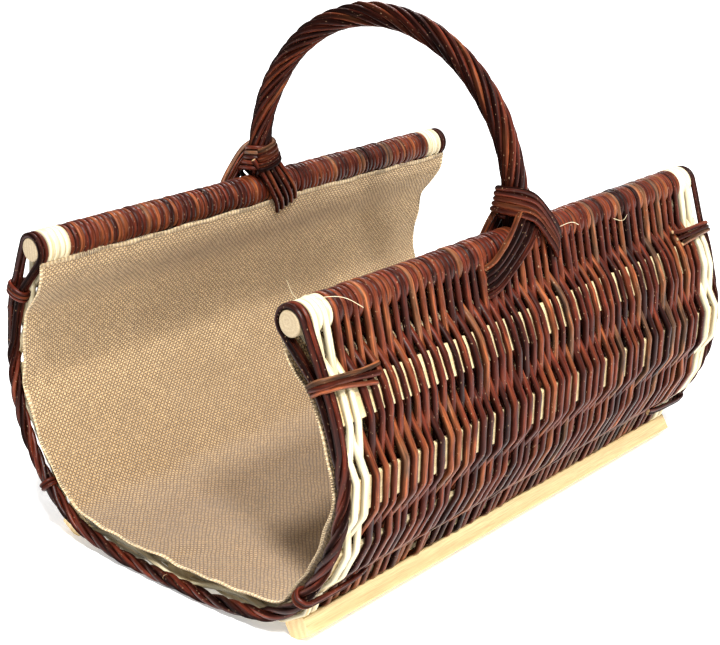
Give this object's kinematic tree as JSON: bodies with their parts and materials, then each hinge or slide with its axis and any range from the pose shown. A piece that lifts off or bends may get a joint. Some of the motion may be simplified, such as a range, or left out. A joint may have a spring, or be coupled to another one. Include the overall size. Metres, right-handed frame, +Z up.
{
  "type": "firewood basket",
  "caption": "Open-ended woven willow log basket with two rails, a lashed bow handle, bottom runners and a jute liner.",
  "frame": {"origin": "on the floor under the middle of the trough", "axes": "+X across the trough, +Y along the rails, +Z up"},
  "size_m": [0.3968, 0.5288, 0.434],
  "materials": {
    "rail_wood": "bare turned dowel",
    "slat_wood": "bare split wood",
    "runner_wood": "bare planed pine",
    "dark_willow": "unpeeled bark, slightly glossy",
    "peeled_willow": "peeled, smooth",
    "jute_cloth": "coarse plain weave",
    "screw_steel": "slotted countersunk screw"
  },
  "bodies": {
    "root": {"border_back_1": "dark_willow", "border_back_2": "dark_willow", "border_front_1": "dark_willow", "border_front_2": "dark_willow", "dark_weavers_1": "dark_willow", "dark_weavers_2": "dark_willow", "dark_weavers_3": "dark_willow", "dark_weavers_4": "dark_willow", "dark_weavers_5": "dark_willow", "dark_weavers_6": "dark_willow", "dark_weavers_7": "dark_willow", "dark_weavers_8": "dark_willow", "dark_weavers_9": "dark_willow", "handle_core": "dark_willow", "handle_strand_1": "dark_willow", "handle_strand_2": "dark_willow", "handle_strand_3": "dark_willow", "handle_strand_4": "dark_willow", "handle_strand_5": "dark_willow", "handle_strand_6": "dark_willow", "handle_strand_7": "dark_willow", "handle_strand_8": "dark_willow", "handle_strand_9": "dark_willow", "lashing_left_collar": "dark_willow", "lashing_left_inside": "dark_willow", "lashing_left_outside": "dark_willow", "lashing_right_collar": "dark_willow", "lashing_right_inside": "dark_willow", "lashing_right_outside": "dark_willow", "liner": "jute_cloth", "pale_weavers_back": "peeled_willow", "pale_weavers_front": "peeled_willow", "rail_left": "rail_wood", "rail_right": "rail_wood", "runner_left": "runner_wood", "runner_right": "runner_wood", "runner_screws": "screw_steel", "slat_bottom": "slat_wood", "slat_left_1": "slat_wood", "slat_left_2": "slat_wood", "slat_left_3": "slat_wood", "slat_left_4": "slat_wood", "slat_left_5": "slat_wood", "slat_right_1": "slat_wood", "slat_right_2": "slat_wood", "slat_right_3": "slat_wood", "slat_right_4": "slat_wood", "slat_right_5": "slat_wood", "tie_back_corner_left": "dark_willow", "tie_back_corner_right": "dark_willow", "tie_back_rail_left": "dark_willow", "tie_back_rail_right": "dark_willow", "tie_front_corner_left": "dark_willow", "tie_front_corner_right": "dark_willow", "tie_front_rail_left": "dark_willow", "tie_front_rail_right": "dark_willow"}
  },
  "joints": []
}
